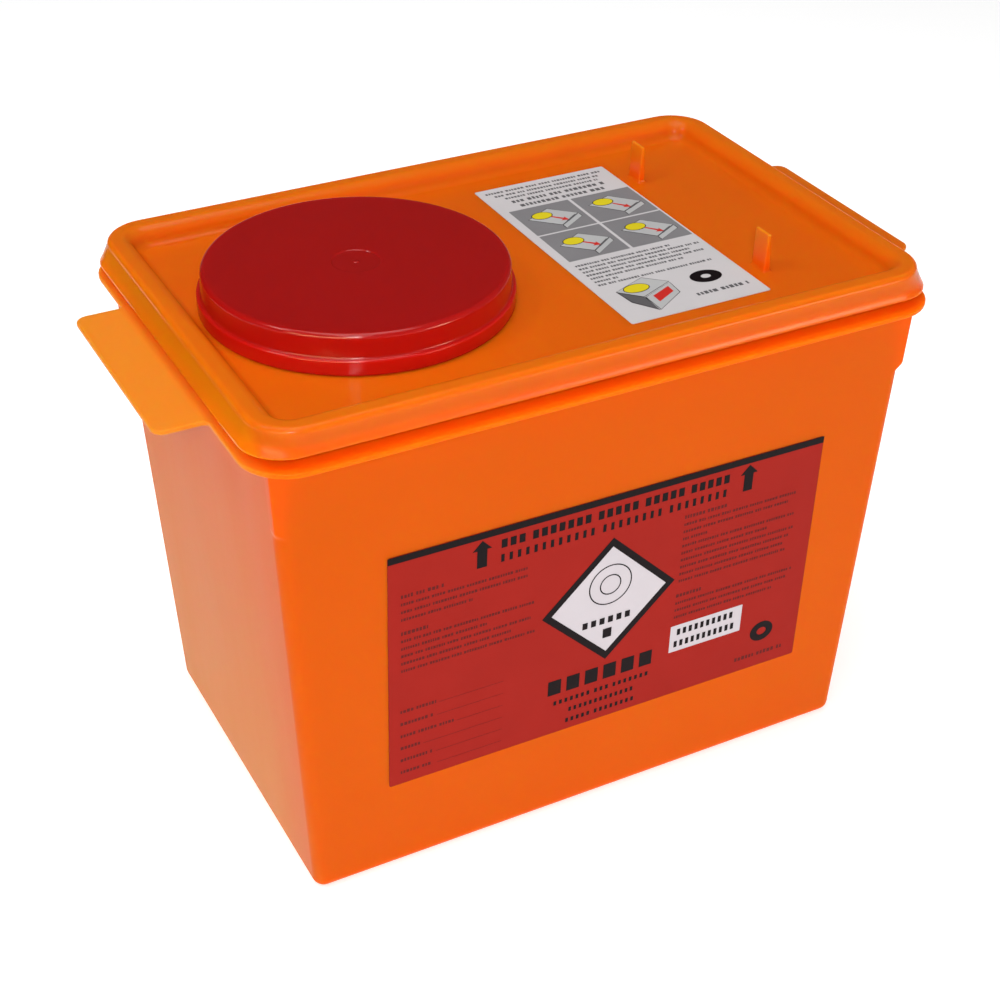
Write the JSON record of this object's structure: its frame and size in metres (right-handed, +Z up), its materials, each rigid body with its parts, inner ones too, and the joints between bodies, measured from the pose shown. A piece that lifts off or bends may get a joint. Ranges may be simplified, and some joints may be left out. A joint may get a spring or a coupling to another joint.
{
  "type": "sharps container",
  "caption": "Rigid plastic tub for used sharps, with a lid that snaps over its rim, a round cap that snaps over the mouth, and a flat handle tab at each end.",
  "frame": {"origin": "centre of the face that the tub rests on", "axes": "+Z up, +X along the length towards the end away from the cap, -Y out of the front wall with the large label"},
  "size_m": [0.3066, 0.177, 0.2189],
  "materials": {
    "tub_plastic": "semi-gloss moulded orange polypropylene",
    "lid_plastic": "semi-gloss moulded orange polypropylene",
    "cap_plastic": "glossy moulded red polypropylene",
    "front_label_film": "printed red film, satin",
    "lid_label_film": "printed pale grey film, satin"
  },
  "bodies": {
    "tub": {"tub": "tub_plastic", "front_label": "front_label_film"},
    "lid": {"lid": "lid_plastic", "lid_label": "lid_label_film"},
    "cap": {"cap": "cap_plastic"}
  },
  "joints": [
    {"name": "lid_lift", "type": "slide", "parent": "tub", "child": "lid", "axis": [0, 0, 1], "range_m": [0, 0.06]},
    {"name": "cap_lift", "type": "slide", "parent": "lid", "child": "cap", "axis": [0, 0, 1], "range_m": [0, 0.05]}
  ]
}
